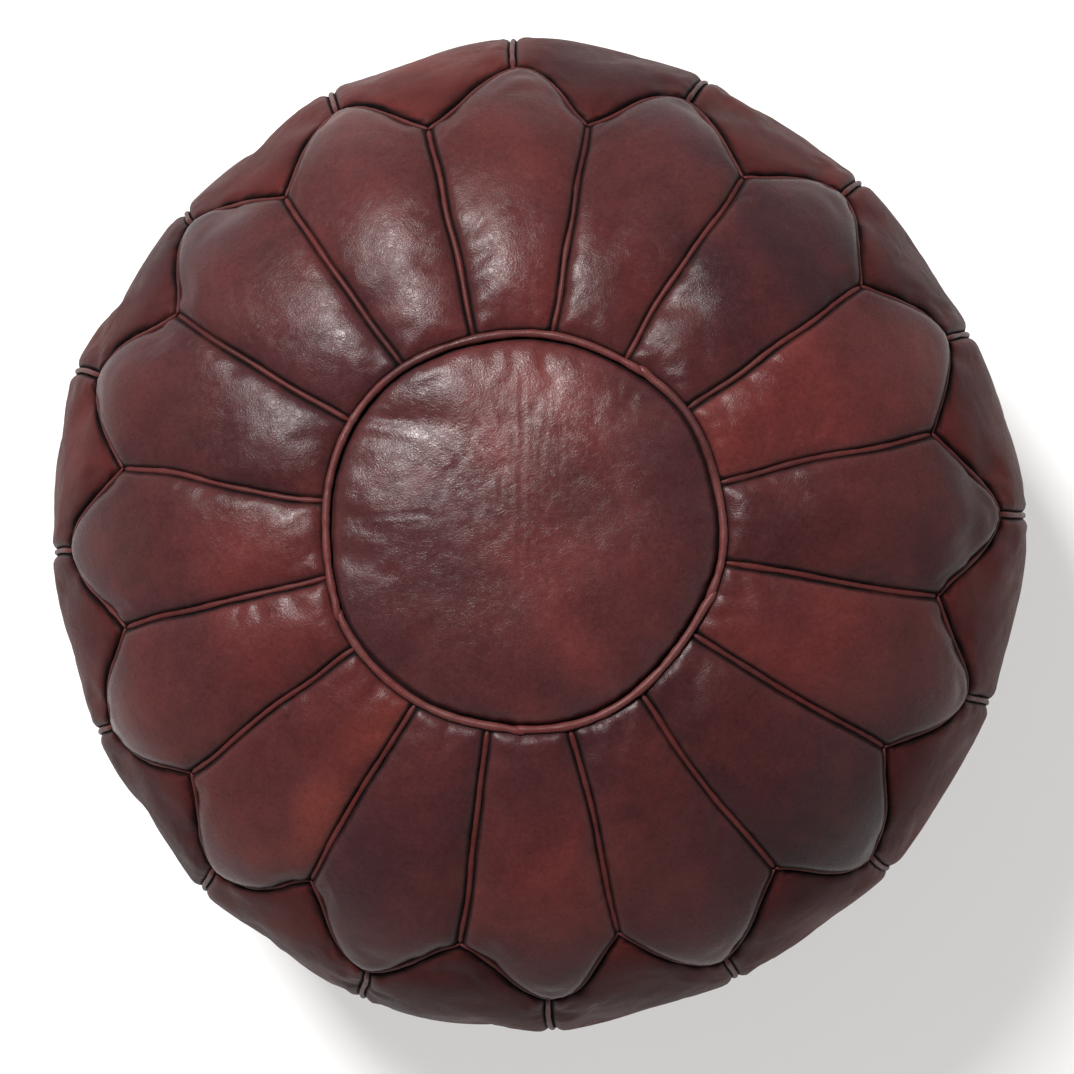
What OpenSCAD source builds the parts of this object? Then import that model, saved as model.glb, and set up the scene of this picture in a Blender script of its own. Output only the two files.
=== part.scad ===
// Moroccan leather pouf: a sewn goat-leather cover of petals and side panels over a stuffed core,
// with a zip fastener let into the underside.
// Millimetres, +Z up, origin at the centre of the base on the floor.

/* [Body] */
// Diameter across the widest part of the leather
pouf_d = 520; // [490:10:560]
// Height of the stuffed pouf
pouf_h = 330; // [320:5:340]
// Radius of the gently domed top
crown_r = 700; // [640:20:800]
// Radius of the rounded shoulder between the top and the side
shoulder_r = 150; // [140:5:160]
// Radius of the rounded edge between the side and the floor
heel_r = 70; // [60:5:80]

/* [Leather] */
// Thickness of the leather
leather_t = 1.6; // [1.2:0.2:2]
// Diameter of the round panel in the middle of the top
medallion_d = 192; // [170:2:210]
// Distance from the axis to the point where two petals and their seam end
valley_r = 206; // [200:1:210]
// Distance from the axis to the tip of a petal
tip_r = 236; // [234:1:240]
// Radius of the two arcs that close the end of a petal
flank_r = 90; // [80:5:120]
// Distance from the axis to the seam between the side panels and the base
base_seam_r = 200; // [190:2:206]

/* [Welts] */
// Diameter of the piping around the medallion
piping_d = 4.6; // [4:0.2:5.2]
// Diameter of the welts between the petals and between the side panels
welt_d = 3.2; // [2.6:0.2:3.6]
// Width of the thin welt between the petals and the side panels
scallop_welt_w = 2.8; // [2.4:0.2:3.2]
// Diameter of the welt around the base
base_welt_d = 3.6; // [3:0.2:4]

/* [Zip fastener] */
// Length of the closed chain of teeth
zip_l = 280; // [220:10:280]
// Depth of the recess that keeps the zip clear of the floor
recess_h = 11; // [11:0.5:13]
// Distance from one tooth to the next on the same tape
tooth_pitch = 3; // [2.8:0.1:3.2]
// Length of the pull from its pin to its end
pull_l = 28; // [24:1:30]
// How far the free end of the pull hangs below level, in degrees
pull_drop = 12; // [6:1:12]

/* [Hidden] */
$fn = 96;

panel_count = 16;
pitch = 360 / panel_count;
half_pitch = pitch / 2;
pouf_r = pouf_d / 2;
medallion_r = medallion_d / 2;

// Sewn edges stop this far short of the welt between them
edge_gap = 0.15;
// The stuffed core stops this far short of the leather, the piping and the base welt
core_gap = 0.3;
core_inset = max(leather_t, piping_d / 2, base_welt_d / 2) + core_gap;
// A welt ends this far from the welt or piping it runs up to
welt_end_gap = 0.6;
// A welt stands this far proud of the leather beside it
welt_proud = 1.4;
// Longer than any part of the object
far = 2 * pouf_d;

// Centres of the arcs that make up the outline, as [distance from the axis, height]
crown_c = [0, pouf_h - crown_r];
shoulder_x = pouf_r - shoulder_r;
equator_z = crown_c.y + sqrt(pow(crown_r - shoulder_r, 2) - pow(shoulder_x, 2));
shoulder_c = [shoulder_x, equator_z];
side_c = [0, equator_z];
heel_c = [sqrt(pow(pouf_r - heel_r, 2) - pow(equator_z - heel_r, 2)), heel_r];

// Directions in which one arc hands over to the next, in degrees above the horizontal
crown_end = atan2(shoulder_c.y - crown_c.y, shoulder_c.x - crown_c.x);
side_end = atan2(heel_c.y - side_c.y, heel_c.x - side_c.x);

// Points outside the outline on the lines where the arcs meet
margin = 40;
crown_join = shoulder_c + (shoulder_r + margin) * [cos(crown_end), sin(crown_end)];
equator_join = [pouf_r + margin, equator_z];
side_join = side_c + (pouf_r + margin) * [cos(side_end), sin(side_end)];

// Heights of the outer surface at a distance from the axis
function crown_z(r) = crown_c.y + sqrt(pow(crown_r, 2) - pow(r, 2));
function shoulder_z(r) = shoulder_c.y + sqrt(pow(shoulder_r, 2) - pow(r - shoulder_c.x, 2));
function heel_z(r) = heel_c.y - sqrt(pow(heel_r, 2) - pow(r - heel_c.x, 2));

// A petal ends in two arcs, its flanks, that run from the valleys beside it and meet at its tip
seam_way = [cos(half_pitch), sin(half_pitch)];
flank_chord = [tip_r, 0] - valley_r * seam_way;
flank_out = [-flank_chord.y, flank_chord.x] / norm(flank_chord);
flank_c = valley_r * seam_way + flank_chord / 2
    - sqrt(pow(flank_r, 2) - pow(norm(flank_chord) / 2, 2)) * flank_out;
// All of the scalloped seam is above this height
scallop_low_z = (equator_z + shoulder_z(tip_r)) / 2;
// Inside this distance from the axis a petal fills its whole sector
petal_root_r = valley_r * cos(half_pitch) - 8;
// Distance from the axis at which the flanks, let out by grow, cross the seam between two petals
function seam_reach(grow) =
    flank_c * seam_way
    + sqrt(pow(flank_r + grow, 2) - pow(norm(flank_c), 2) + pow(flank_c * seam_way, 2));

// Zip: the recess walls lean in from the floor to the roof, clear of the pull at the open end
recess_roof_w = 34;
recess_floor_w = 56;
recess_roof_l = zip_l + 2 * pull_l - 8;
recess_floor_l = recess_roof_l + 20;
slot_w = 13;
slot_l = zip_l + 14;
roof_top = recess_h + leather_t;
tape_w = 15;
tape_t = 0.6;
tape_l = zip_l + 18;
tape_z = roof_top + 0.05;
tape_gap = 0.3;
tooth_l = 1.3;
tooth_w = 4.4;
tooth_h = 2.2;
tooth_overlap = 1;
tooth_count = floor(zip_l / tooth_pitch);
stop_h = 2;
stop_w = 3.2;
stop_gap = 1.5;
top_stop_l = 3;
bottom_stop_l = 4;

// Zip slider: plates, flanges and the bridge that carries the pull
slider_l = 12;
slider_w = 10.4;
slider_tail_w = 8.4;
plate_t = 1.5;
plate_gap = 0.5;
slider_z = tape_z - tooth_h - plate_gap - plate_t;
slider_x = zip_l / 2 + stop_gap - plate_gap - slider_l / 2;
flange_y = 4;
flange_h = 2.3;
inner_plate_z = tape_z + tape_t + plate_gap;
bridge_l = 7.6;
bridge_w = 1.6;
bridge_drop = 3;
bridge_t = 1;
bridge_foot = bridge_t + 0.2;
pin_r = 0.75;
pin_z = slider_z - bridge_drop / 3;
pull_w = 7;
pull_t = 1.4;
pull_hole_d = 3;
pull_neck = 4.7;
cheek_y = 1.2;
cheek_t = 1.4;

// Thread
stitch_l = 3;
stitch_pitch = 4.5;
stitch_d = 0.7;
stitch_row_y = 9;

function two_digits(i) = str(i < 10 ? "0" : "", i);
petal_names = [for (i = [1:panel_count]) str("petal_", two_digits(i))];
side_names = [for (i = [1:panel_count]) str("side_panel_", two_digits(i))];

maroon = [0.36, 0.19, 0.19];
chestnut = [0.42, 0.22, 0.20];
welt_brown = [0.52, 0.29, 0.26];
base_brown = [0.30, 0.17, 0.15];
tape_brown = [0.16, 0.09, 0.08];
thread_brown = [0.40, 0.24, 0.18];
brass = [0.62, 0.50, 0.30];

// ---------------------------------------------------------------- outline

// Moves by p in a whole number of microns and then by the rest, so that no digit of p is lost
module place(p) {
    whole = [for (x = p) floor(x * 1000) / 1000];
    translate(whole) translate(p - whole) children();
}

// Part of a disc that lies inside the polygon through points
module slice(centre, r, points) {
    intersection() {
        place(centre) circle(r = r);
        polygon(points);
    }
}

// Right half of the pouf's outline, taken in by inset
module outline(inset = 0) {
    slice(crown_c, crown_r - inset, [side_c, shoulder_c, crown_join, [0, crown_join.y + margin]]);
    slice(shoulder_c, shoulder_r - inset, [
        shoulder_c, equator_join, [equator_join.x, crown_join.y + margin], crown_join
    ]);
    slice(side_c, pouf_r - inset, [side_c, heel_c, side_join, equator_join]);
    slice(heel_c, heel_r - inset, [
        heel_c, [heel_c.x, -margin], [side_join.x, -margin], side_join
    ]);
    polygon([[0, inset], [heel_c.x, inset], heel_c, side_c]);
}

module leather_outline() {
    difference() {
        outline();
        outline(leather_t);
    }
}

// Plan of one panel's sector about +X, with parallel edges that leave room for a welt of width w
module sector_plan(w) {
    apex = (w / 2 + edge_gap) / sin(half_pitch);
    translate([apex, 0])
        polygon([[0, 0], [far, -far * tan(half_pitch)], [far, far * tan(half_pitch)]]);
}

// Lens between the flanks of the petal on +X, let out by grow
module petal_end(grow) {
    intersection() {
        place(flank_c) circle(r = flank_r + grow);
        mirror([0, 1]) place(flank_c) circle(r = flank_r + grow);
    }
}

// Band about the leather in the plane y = 0, standing proud of its outer face
module welt_band(proud) {
    difference() {
        outline(-proud);
        outline(leather_t);
    }
}

// Quarter of the outline plane above the widest height, from a distance x outwards
module above(x) {
    translate([x, equator_z]) square([far, pouf_h]);
}

// Quarter of the outline plane below the widest height, from a distance x outwards
module below(x) {
    translate([x, -margin]) square([far, equator_z + margin]);
}

// ---------------------------------------------------------------- top

module medallion() {
    color(maroon)
        rotate_extrude()
            intersection() {
                leather_outline();
                translate([0, equator_z]) square([medallion_r - piping_d / 2 - edge_gap, pouf_h]);
            }
}

module medallion_piping() {
    color(welt_brown)
        rotate_extrude() translate([medallion_r, crown_z(medallion_r)]) circle(d = piping_d);
}

// One petal, from the medallion over the shoulder to its tip, centred on +X
module petal() {
    intersection() {
        rotate([0, 0, -half_pitch])
            rotate_extrude(angle = pitch)
                intersection() {
                    leather_outline();
                    above(medallion_r + piping_d / 2 + edge_gap);
                }
        linear_extrude(far)
            intersection() {
                sector_plan(welt_d);
                union() {
                    circle(r = petal_root_r);
                    petal_end(-scallop_welt_w / 2 - edge_gap);
                }
            }
    }
}

// Welts along the seams from the medallion to the valleys
module petal_welts() {
    inner = medallion_r + piping_d / 2 + edge_gap;
    reach = seam_reach(-scallop_welt_w / 2) - welt_end_gap;
    color(welt_brown)
        for (i = [0:panel_count - 1])
            rotate([90, 0, (i + 0.5) * pitch])
                linear_extrude(welt_d, center = true)
                    intersection() {
                        welt_band(welt_proud);
                        above(inner + welt_end_gap);
                        translate([0, equator_z]) square([reach, pouf_h]);
                    }
}

// Thin welts that follow the ends of the petals, one strip to a petal
module scallop_welt() {
    color(welt_brown)
        for (i = [0:panel_count - 1])
            rotate([0, 0, i * pitch])
                intersection() {
                    rotate([0, 0, -half_pitch])
                        rotate_extrude(angle = pitch)
                            intersection() {
                                welt_band(welt_proud);
                                above(valley_r - 20);
                            }
                    linear_extrude(far)
                        intersection() {
                            sector_plan(0);
                            difference() {
                                petal_end(scallop_welt_w / 2);
                                petal_end(-scallop_welt_w / 2);
                                circle(r = petal_root_r);
                            }
                        }
                }
}

// ---------------------------------------------------------------- side

// One side panel, centred on +X. It lies under a valley, between the tips of two petals
module side_panel() {
    difference() {
        intersection() {
            rotate([0, 0, -half_pitch])
                rotate_extrude(angle = pitch)
                    intersection() {
                        leather_outline();
                        union() {
                            above(valley_r - 20);
                            below(base_seam_r + base_welt_d / 2 + edge_gap);
                        }
                    }
            linear_extrude(far) sector_plan(welt_d);
        }
        translate([0, 0, scallop_low_z])
            linear_extrude(far)
                for (side = [-1, 1])
                    rotate(side * half_pitch) petal_end(scallop_welt_w / 2 + edge_gap);
    }
}

// Welts down the seams between side panels, from the petal tips to the base
module side_welts() {
    color(welt_brown)
        for (i = [0:panel_count - 1])
            rotate([90, 0, i * pitch])
                linear_extrude(welt_d, center = true)
                    intersection() {
                        welt_band(welt_proud);
                        union() {
                            above(tip_r + scallop_welt_w / 2 + welt_end_gap);
                            below(base_seam_r + base_welt_d / 2 + welt_end_gap);
                        }
                    }
}

// ---------------------------------------------------------------- base

module base_welt() {
    color(welt_brown)
        rotate_extrude() translate([base_seam_r, heel_z(base_seam_r)]) circle(d = base_welt_d);
}

// Boat-shaped block about the zip, with its walls moved out by grow and its roof raised by grow
module recess_block(grow, foot = 0) {
    top = recess_h + grow;
    lean_w = (recess_floor_w - recess_roof_w) / 2 / recess_h;
    lean_l = (recess_floor_l - recess_roof_l) / 2 / recess_h;
    roof_w = recess_roof_w / 2 + grow * (1 - lean_w);
    roof_l = recess_roof_l / 2 + grow * (1 - lean_l);
    foot_w = roof_w + (top + foot) * lean_w;
    foot_l = roof_l + (top + foot) * lean_l;
    intersection() {
        translate([-far / 2, 0, 0])
            rotate([90, 0, 90])
                linear_extrude(far)
                    polygon([[-foot_w, -foot], [foot_w, -foot], [roof_w, top], [-roof_w, top]]);
        translate([0, far / 2, 0])
            rotate([90, 0, 0])
                linear_extrude(far)
                    polygon([[-foot_l, -foot], [foot_l, -foot], [roof_l, top], [-roof_l, top]]);
    }
}

// Half of the base on the +Y side, with the recess and half of the slot for the zip
module base_half() {
    difference() {
        union() {
            rotate_extrude()
                intersection() {
                    leather_outline();
                    square([base_seam_r - base_welt_d / 2 - edge_gap, heel_r]);
                }
            recess_block(leather_t);
        }
        recess_block(0, 1);
        translate([-slot_l / 2, -slot_w / 2, 0]) cube([slot_l, slot_w, far]);
        translate([-far / 2, -far + tape_gap / 2, -1]) cube([far, far, far]);
    }
}

module base_panel_back() {
    color(base_brown) base_half();
}

module base_panel_front() {
    color(base_brown) rotate([0, 0, 180]) base_half();
}

// The packed stuffing, with a hollow above the zip
module stuffing() {
    hollow_grow = inner_plate_z + plate_t + 1 - recess_h;
    color("wheat")
        difference() {
            rotate_extrude() outline(core_inset);
            recess_block(hollow_grow, 1);
        }
}

// ---------------------------------------------------------------- zip

// Tape on the +Y side of the chain
module zip_tape() {
    translate([-tape_l / 2, tape_gap / 2, tape_z]) cube([tape_l, tape_w, tape_t]);
}

module zip_tape_back() {
    color(tape_brown) zip_tape();
}

module zip_tape_front() {
    color(tape_brown) mirror([0, 1, 0]) zip_tape();
}

// Row of teeth under the tape on the +Y side, moved along the chain by shift
module zip_teeth(shift) {
    for (i = [0:tooth_count - 1])
        translate([
            -zip_l / 2 + i * tooth_pitch + shift + (tooth_pitch / 2 - tooth_l) / 2,
            -tooth_overlap,
            tape_z - tooth_h
        ])
            cube([tooth_l, tooth_w, tooth_h]);
}

module zip_teeth_back() {
    color(brass) zip_teeth(0);
}

module zip_teeth_front() {
    color(brass) mirror([0, 1, 0]) zip_teeth(tooth_pitch / 2);
}

// A clip under each tape beyond the last tooth at the closed end
module zip_top_stops() {
    color(brass)
        for (side = [0, 1])
            mirror([0, side, 0])
                translate([zip_l / 2 + stop_gap, tape_gap, tape_z - stop_h])
                    cube([top_stop_l, stop_w, stop_h]);
}

// One clip across both tapes at the open end
module zip_bottom_stop() {
    color(brass)
        translate([-zip_l / 2 - stop_gap - bottom_stop_l, -stop_w, tape_z - stop_h])
            cube([bottom_stop_l, 2 * stop_w, stop_h]);
}

// Stitches that hold the tape to the leather, one row on each side of the slot
module zip_stitching() {
    stitches = floor(slot_l / stitch_pitch);
    color(thread_brown)
        for (side = [-1, 1], i = [0:stitches - 1])
            translate([
                (i - stitches / 2) * stitch_pitch, side * stitch_row_y, recess_h - stitch_d / 2
            ])
                rotate([0, 90, 0]) cylinder(d = stitch_d, h = stitch_l, $fn = 24);
}

// Shield-shaped plan of a slider plate, wide at the closed end
module slider_plan() {
    polygon([
        [-slider_l / 2, -slider_tail_w / 2], [slider_l / 6, -slider_w / 2],
        [slider_l / 2, -slider_w / 2 + 1], [slider_l / 2, slider_w / 2 - 1],
        [slider_l / 6, slider_w / 2], [-slider_l / 2, slider_tail_w / 2]
    ]);
}

// Outer plate with its flanges and bridge below the teeth, and the inner plate above the tapes
module zip_slider() {
    color(brass)
        translate([slider_x, 0, 0]) {
            translate([0, 0, slider_z]) linear_extrude(plate_t) slider_plan();
            translate([0, 0, slider_z])
                linear_extrude(plate_t + flange_h)
                    difference() {
                        slider_plan();
                        square([2 * slider_l, 2 * flange_y], center = true);
                    }
            translate([-bridge_l / 2, -bridge_w / 2, slider_z - bridge_drop])
                difference() {
                    cube([bridge_l, bridge_w, bridge_drop]);
                    translate([bridge_foot, -1, bridge_t])
                        cube([bridge_l - 2 * bridge_foot, bridge_w + 2, bridge_drop]);
                }
            translate([0, 0, inner_plate_z]) linear_extrude(plate_t) slider_plan();
        }
}

// Pull: a pin through the bridge, two cheeks and a flat tab with a hole near its end
module zip_pull() {
    color(brass)
        translate([slider_x, 0, pin_z])
            rotate([0, -pull_drop, 0]) {
                rotate([90, 0, 0])
                    cylinder(r = pin_r, h = 2 * cheek_y + 1, center = true, $fn = 48);
                for (side = [0, 1])
                    mirror([0, side, 0])
                        translate([0, cheek_y + cheek_t, 0])
                            rotate([90, 0, 0])
                                linear_extrude(cheek_t)
                                    union() {
                                        circle(r = pull_t / 2 + 0.2, $fn = 48);
                                        translate([-pull_neck - 1, -pull_t / 2])
                                            square([pull_neck + 1, pull_t]);
                                    }
                translate([0, 0, -pull_t / 2])
                    linear_extrude(pull_t)
                        difference() {
                            union() {
                                translate([-pull_l + pull_w / 2, -pull_w / 2])
                                    square([pull_l - pull_w / 2 - pull_neck, pull_w]);
                                translate([-pull_l + pull_w / 2, 0]) circle(d = pull_w);
                            }
                            translate([-pull_l + pull_w / 2, 0]) circle(d = pull_hole_d);
                        }
            }
}

// ---------------------------------------------------------------- nodes

medallion();
medallion_piping();
for (i = [0:panel_count - 1])
    color(i % 2 == 0 ? maroon : chestnut) rotate([0, 0, i * pitch]) petal();
petal_welts();
scallop_welt();
for (i = [0:panel_count - 1])
    color(i % 2 == 0 ? chestnut : maroon) rotate([0, 0, (i + 0.5) * pitch]) side_panel();
side_welts();
base_welt();
base_panel_front();
base_panel_back();
stuffing();
zip_tape_front();
zip_tape_back();
zip_teeth_front();
zip_teeth_back();
zip_top_stops();
zip_bottom_stop();
zip_stitching();
zip_slider();
zip_pull();
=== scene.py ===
import math

import bpy
import numpy as np
from mathutils import Matrix, Vector


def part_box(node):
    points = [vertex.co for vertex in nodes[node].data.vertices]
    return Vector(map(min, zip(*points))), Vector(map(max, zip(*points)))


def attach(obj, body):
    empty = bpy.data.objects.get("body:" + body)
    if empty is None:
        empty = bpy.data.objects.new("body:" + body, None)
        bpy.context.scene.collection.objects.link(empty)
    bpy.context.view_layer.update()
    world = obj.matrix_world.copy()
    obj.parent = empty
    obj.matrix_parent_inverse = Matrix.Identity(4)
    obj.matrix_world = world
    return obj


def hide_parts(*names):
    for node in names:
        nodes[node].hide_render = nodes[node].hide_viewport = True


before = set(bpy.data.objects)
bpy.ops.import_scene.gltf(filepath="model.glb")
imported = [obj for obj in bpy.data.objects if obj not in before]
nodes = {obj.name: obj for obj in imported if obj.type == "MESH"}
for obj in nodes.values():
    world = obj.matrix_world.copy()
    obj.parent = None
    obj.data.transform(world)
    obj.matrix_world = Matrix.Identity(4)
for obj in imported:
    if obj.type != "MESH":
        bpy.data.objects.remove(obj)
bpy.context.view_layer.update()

MM = 0.001
PANELS = 16
PITCH = 2 * math.pi / PANELS
HALF = PITCH / 2
LEATHER_T = 1.4 * MM
WELT_R = 1.45 * MM
# How far the middle of a petal swells above its seams
PUFF = 2.3 * MM
# How far the stuffing lies inside the outer face
CORE_INSET = 7 * MM
# Distances from a seam of the fine rows beside it
EDGE = np.array([0.3, 0.8, 1.4, 2.1, 3.0, 4.2, 5.8]) * MM
# Even steps across and along a panel, between its fine rows
PETAL_STEPS = (17, 58)
SIDE_STEPS = (38, 104)
DISC_POINTS = 97
# Columns and rows of the sheets in the cloth simulation
CLOTH_GRID = {"medallion": (41, 41), "petal": (15, 31), "side": (19, 49)}
CLOTH_FRAMES = 14
CLOTH_CAP = 5 * MM


# ------------------------------------------------------------------ small helpers

def unit(v):
    return v / np.maximum(np.linalg.norm(v, axis=-1, keepdims=True), 1e-12)


def ramp(x, low, high):
    """0 at low, 1 at high, smooth between."""
    t = np.clip((x - low) / (high - low), 0, 1)
    return t * t * (3 - 2 * t)


def waves(p, length, seed, count=14):
    """Smooth seeded noise about 0 at points p, with features about length across."""
    rng = np.random.default_rng(seed)
    way = unit(rng.normal(size=(count, 3))) * rng.uniform(0.7, 1.4, (count, 1))
    way = way * 2 * math.pi / length
    phase = rng.uniform(0, 2 * math.pi, count)
    return np.cos(p @ way.T + phase).sum(-1) * math.sqrt(2 / count)


def smooth(values, sigma):
    """Gaussian average along a list of numbers, with its ends held."""
    reach = int(3 * sigma) + 1
    kernel = np.exp(-0.5 * (np.arange(-reach, reach + 1) / sigma) ** 2)
    padded = np.concatenate([
        2 * values[0] - values[reach:0:-1], values, 2 * values[-1] - values[-2:-reach - 2:-1]
    ])
    return np.convolve(padded, kernel / kernel.sum(), mode="valid")


def spread(length, count):
    """Distances from one edge to the other: fine rows beside both, and count even steps between."""
    length = np.asarray(length, float)[..., None]
    edge = EDGE * np.minimum(1, length / (3 * EDGE[-1]))
    last = edge[..., -1:]
    inner = last + (length - 2 * last) * np.arange(1, count) / count
    return np.concatenate([edge, inner, length - edge[..., ::-1]], -1)


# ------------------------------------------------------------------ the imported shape

def measure_profile():
    """The outer face of the leather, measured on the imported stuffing: arc lengths from the top to
    the middle of the base, and the radius, height and normal at each."""
    core = nodes["stuffing"]
    top, heel, step = 90, -44.6, -0.25
    foot_points = 40
    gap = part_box("medallion")[1].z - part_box("stuffing")[1].z
    origin = Vector((0, 0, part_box("stuffing")[1].z / 2))
    hits = []
    for e in np.radians(np.arange(top, heel, step)):
        found, at, _, _ = core.ray_cast(origin, Vector((0, math.cos(e), math.sin(e))))
        if found:
            hits.append((at.y, at.z))
    r, z = np.array(hits).T
    r[0] = 0
    r = np.append(r, np.linspace(r[-1] - 4 * MM, 0, foot_points))
    z = np.append(z, np.full(foot_points, z[-1]))
    # spaced evenly and smoothed, moved out to the leather, and spaced evenly again
    for last in (False, True):
        s = np.append(0, np.cumsum(np.hypot(np.diff(r), np.diff(z))))
        even = np.linspace(0, s[-1], int(s[-1] / MM) + 1)
        r, z = np.interp(even, s, r), np.interp(even, s, z)
        if not last:
            r, z = smooth(r, 5), smooth(z, 5)
        t = unit(np.stack([np.gradient(r), np.gradient(z)], -1))
        n = np.stack([-t[:, 1], t[:, 0]], -1)
        if not last:
            r, z = r + gap * n[:, 0], z + gap * n[:, 1]
            r[0] = r[-1] = 0
    return even, r, np.maximum(z, 0), n


PS, PR, PZ, PN = measure_profile()
WIDEST = int(np.argmax(PR))


def s_at_radius(r):
    return np.interp(r, PR[:WIDEST], PS[:WIDEST])


def s_at_height(z):
    return float(np.interp(-z, -PZ[:WIDEST], PS[:WIDEST]))


def cord_radius(node):
    """Radius of a round cord that lies level."""
    low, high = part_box(node)
    return (high.z - low.z) / 2


def ring_radius(node):
    """Radius of the centre line of a round cord that lies level."""
    low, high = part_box(node)
    return (high.x - low.x) / 2 - cord_radius(node)


PIPING_R = cord_radius("medallion_piping")
BASE_WELT_R = cord_radius("base_welt")
# Arc lengths from the top to the medallion's seam and to the inner and outer ends of the scallops
RING_S = float(s_at_radius(ring_radius("medallion_piping")))
VALLEY_S = s_at_height(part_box("side_panel_01")[1].z) - 1.5 * MM
TIP_S = s_at_height(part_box("petal_01")[0].z) + 1.5 * MM
VALLEY_R = float(np.interp(VALLEY_S, PS, PR))
TIP_R = float(np.interp(TIP_S, PS, PR))
SCALLOP_MEAN_R = 0.22
EQUATOR_S = float(PS[WIDEST])
BASE_R = ring_radius("base_welt")
BASE_S = float(np.interp(-BASE_R, -PR[WIDEST:], PS[WIDEST:]))


# ------------------------------------------------------------------ the stuffed skin

# Slow unevenness of the outline seen from above: times round, depth in mm, direction of a bulge
OUTLINE = ((1, 1.2, -156), (2, 3.2, -89), (3, 1.5, -14), (4, 1.9, -1), (5, 1.3, 18))
OUTLINE_SHARE = 0.85
# Share of the way from a round side to one that is flat between its seams
FLATNESS = 0.62
# Waves that move a seam sideways, move it along the profile, and swell the skin where the filling
# is lumpy: length in metres, depth in mm, seed
SWAY = ((0.11, 0.9, 11), (0.05, 0.35, 12))
SLIP = ((0.10, 1.0, 13),)
LUMPS = ((0.20, 1.1, 21), (0.075, 0.55, 22))
# The skin sinks by this much, which the swelling panels take up again
SINK = 0.6 * MM


def uneven(p, parts):
    return sum(waves(p, length, seed) * depth for length, depth, seed in parts) * MM


def folded(theta):
    """Angle from the nearest whole pitch, and the number of that pitch."""
    k = np.round(theta / PITCH)
    return theta - k * PITCH, k.astype(int) % PANELS


def skin(s, theta):
    """Points on the outer face of the sewn cover, and their normals on the plain shape."""
    s, theta = np.broadcast_arrays(np.asarray(s, float), np.asarray(theta, float))
    r0 = np.interp(s, PS, PR)
    at = np.stack([r0 * np.cos(theta), r0 * np.sin(theta), np.interp(s, PS, PZ)], -1)
    # hand sewing: the seams wander sideways and along the profile
    loose = ramp(s, 0.02, 0.08)
    s1 = s + uneven(at, SLIP) * loose * (1 - ramp(s, BASE_S - 0.04, BASE_S))
    theta1 = theta + uneven(at, SWAY) * loose / np.maximum(r0, 0.03)
    r = np.interp(s1, PS, PR)
    z = np.interp(s1, PS, PZ)
    nr, nz = np.interp(s1, PS, PN[:, 0]), np.interp(s1, PS, PN[:, 1])
    n = np.stack([nr * np.cos(theta1), nr * np.sin(theta1), nz], -1)

    # the sides lie flatter between their seams
    side = ramp(s, VALLEY_S, TIP_S + 0.03) * (1 - 0.75 * ramp(s, BASE_S - 0.09, BASE_S + 0.03))
    local, _ = folded(theta - HALF)
    chord = r0 * (math.cos(HALF) / np.cos(local) - 1)
    h = FLATNESS * side * chord
    # the outline's bulges and the lumps of the filling fade out towards the base
    low = 1 - ramp(s, BASE_S - 0.07, BASE_S + 0.01)
    body = ramp(s, VALLEY_S - 0.03, EQUATOR_S) * low
    for times, depth, way in OUTLINE:
        h = h + OUTLINE_SHARE * depth * MM * body * np.cos(times * (theta - math.radians(way)))
    h = h + low * (uneven(at, LUMPS) - SINK)
    p = np.stack([r * np.cos(theta1), r * np.sin(theta1), z], -1) + n * h[..., None]
    return p, n


# How far each petal's end is out of place, leans to one side, and is rounder than the others
SCALLOP_TIP = np.random.default_rng(5).uniform(-1.6, 1.4, PANELS) * MM
SCALLOP_SKEW = np.random.default_rng(6).uniform(-0.09, 0.09, PANELS)
SCALLOP_ROUND = np.random.default_rng(7).uniform(-0.05, 0.07, PANELS)


def scallop_s(theta):
    """Arc length from the top to the scalloped seam in direction theta."""
    local, k = folded(theta)
    t = local / HALF
    t = t + SCALLOP_SKEW[k] * (1 - t * t)
    pointed = 0.5 + SCALLOP_ROUND[k]
    f = pointed * np.cos(math.pi * t / 2) + (1 - pointed) * 0.5 * (1 + np.cos(math.pi * t))
    foot = VALLEY_R * math.cos(HALF)
    return s_at_radius(foot / np.cos(local) + (TIP_R + SCALLOP_TIP[k] - foot) * f)


def scallop_lean(theta):
    """Cosine that turns a distance along the profile into the distance from the scalloped seam."""
    step = 0.004
    slope = (scallop_s(theta + step) - scallop_s(theta - step)) / (2 * step * SCALLOP_MEAN_R)
    return 1 / np.sqrt(1 + slope * slope)


def roll(d, depth, reach):
    """How far the leather turns down into a seam at distance d from it."""
    return depth * np.exp(-(np.maximum(d, 0) / reach) ** 1.7)


# ------------------------------------------------------------------ panels in (s, theta)

def half_width(s):
    """Half the width of a panel at s."""
    return HALF * np.interp(s, PS, PR)


def between_seams(count_across, count_along, centre, start, end):
    """Grid over one panel. start and end give the arc length of its two ends in a direction.
    Returns s, theta, and the distances from the side seams, the start and the end."""
    rounds = 4
    across = len(EDGE) * 2 + count_across - 1
    u = np.linspace(-1, 1, across)
    s_end = end(centre + u * HALF)
    for _ in range(rounds):
        w = half_width(s_end)
        x = spread(2 * w, count_across)[np.arange(across), np.arange(across)] - w
        theta_end = centre + x / w * HALF
        s_end = end(theta_end)
        s_start = start(theta_end)
    rows = spread(s_end - s_start, count_along)
    s = (s_start[:, None] + rows).T
    w = half_width(s)
    x = np.stack([spread(2 * w[:, j], count_across)[:, j] for j in range(across)], 1) - w
    theta = centre + x / w * HALF
    side = w - np.abs(x)
    return s, theta, side, s - start(theta), end(theta) - s


def petal_grid(i):
    centre = i * PITCH
    s, theta, side, ring, cut = between_seams(
        *PETAL_STEPS, centre, lambda a: np.full(np.shape(a), RING_S), scallop_s)
    return s, theta, side, ring, cut * scallop_lean(theta)


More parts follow.
